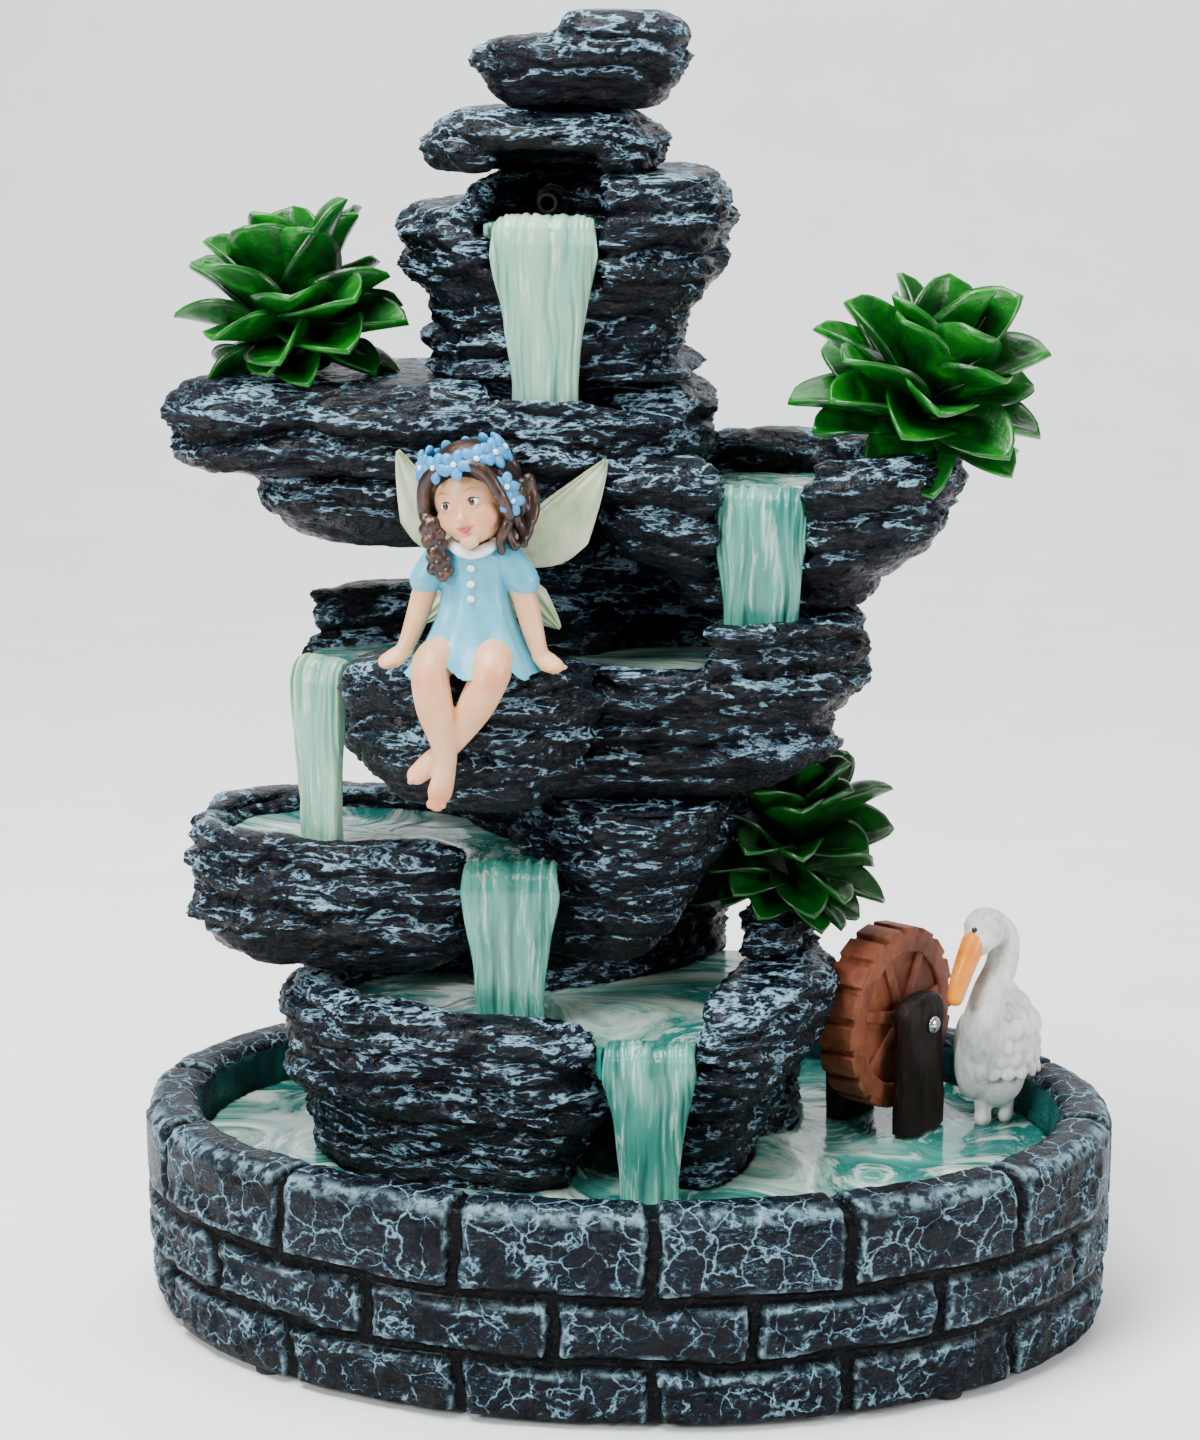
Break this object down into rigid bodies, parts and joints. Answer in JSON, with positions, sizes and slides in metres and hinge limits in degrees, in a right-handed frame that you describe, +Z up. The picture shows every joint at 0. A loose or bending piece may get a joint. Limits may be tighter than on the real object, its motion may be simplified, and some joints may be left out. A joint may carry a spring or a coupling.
{
  "type": "tabletop water fountain",
  "caption": "Tabletop water fountain: oval brick-walled basin under stacked rock tiers with pools and falls, a turning water wheel, plants, a swan and a seated fairy.",
  "frame": {"origin": "on the table under the middle of the basin", "axes": "+Z up, +X to the right seen from the front, front faces -Y"},
  "size_m": [0.296, 0.206, 0.39],
  "materials": {
    "basin_stone": "satin painted cast resin",
    "rock": "satin painted cast resin",
    "water_resin": "gloss tinted resin",
    "fall_resin": "gloss translucent resin",
    "leaf": "gloss painted cast resin",
    "figure": "satin painted cast resin",
    "wing": "satin painted cast resin",
    "swan": "satin painted cast resin",
    "wheel": "satin painted cast resin",
    "post": "satin painted cast resin",
    "pin": "polished",
    "black_plastic": "moulded",
    "impeller_plastic": "moulded",
    "dial_plastic": "moulded",
    "rubber": "matte",
    "hose": "clear flexible vinyl"
  },
  "bodies": {
    "fountain": {"basin": "basin_stone", "rock_column": "rock", "rock_lower_left": "rock", "rock_lower_right": "rock", "rock_right_shelf": "rock", "rock_left_bowl": "rock", "rock_mid_under": "rock", "rock_mid_bowl": "rock", "rock_seat": "rock", "rock_right_bowl": "rock", "rock_ledge_lower": "rock", "rock_ledge_upper": "rock", "rock_shoulder": "rock", "rock_collar": "rock", "rock_crown": "rock", "pool_basin": "water_resin", "pool_lower": "water_resin", "pool_left": "water_resin", "pool_mid": "water_resin", "pool_right": "water_resin", "pool_spring": "water_resin", "fall_spring": "fall_resin", "fall_right": "fall_resin", "fall_left": "fall_resin", "fall_middle": "fall_resin", "fall_lower": "fall_resin", "plant_left": "leaf", "plant_right": "leaf", "plant_low": "leaf", "fairy_figure": "figure", "fairy_wing_left": "wing", "fairy_wing_right": "wing", "swan": "swan", "wheel_post_front": "post", "wheel_post_rear": "post", "wheel_axle": "pin", "pump_shaft": "pin", "pump_housing": "black_plastic", "spring_spout": "black_plastic", "cord_grommet": "rubber", "foot_pad_1": "rubber", "foot_pad_2": "rubber", "foot_pad_3": "rubber", "foot_pad_4": "rubber", "pump_suction_cup_1": "rubber", "pump_suction_cup_2": "rubber", "pump_suction_cup_3": "rubber", "pump_suction_cup_4": "rubber", "riser_hose": "hose"},
    "wheel": {"water_wheel": "wheel"},
    "impeller": {"pump_impeller": "impeller_plastic"},
    "grille": {"pump_intake_grille": "black_plastic"},
    "dial": {"pump_flow_dial": "dial_plastic"},
    "hatch": {"rear_hatch_cover": "rock"}
  },
  "joints": [
    {"name": "wheel_spin", "type": "hinge", "parent": "fountain", "child": "wheel", "pos_m": [0.079, 0.019, 0.0865], "axis": [0.8387, -0.5446, 0], "continuous": true},
    {"name": "impeller_spin", "type": "hinge", "parent": "fountain", "child": "impeller", "pos_m": [-0.013, 0.05, 0.0316], "axis": [0, -1, 0], "continuous": true},
    {"name": "grille_lift", "type": "slide", "parent": "fountain", "child": "grille", "axis": [0, 1, 0], "range_m": [0, 0.005]},
    {"name": "dial_turn", "type": "hinge", "parent": "grille", "child": "dial", "pos_m": [-0.013, 0.063, 0.0316], "axis": [0, -1, 0], "range_deg": [0, 90]},
    {"name": "hatch_lift", "type": "slide", "parent": "fountain", "child": "hatch", "axis": [0, 1, 0], "range_m": [0, 0.03]}
  ]
}
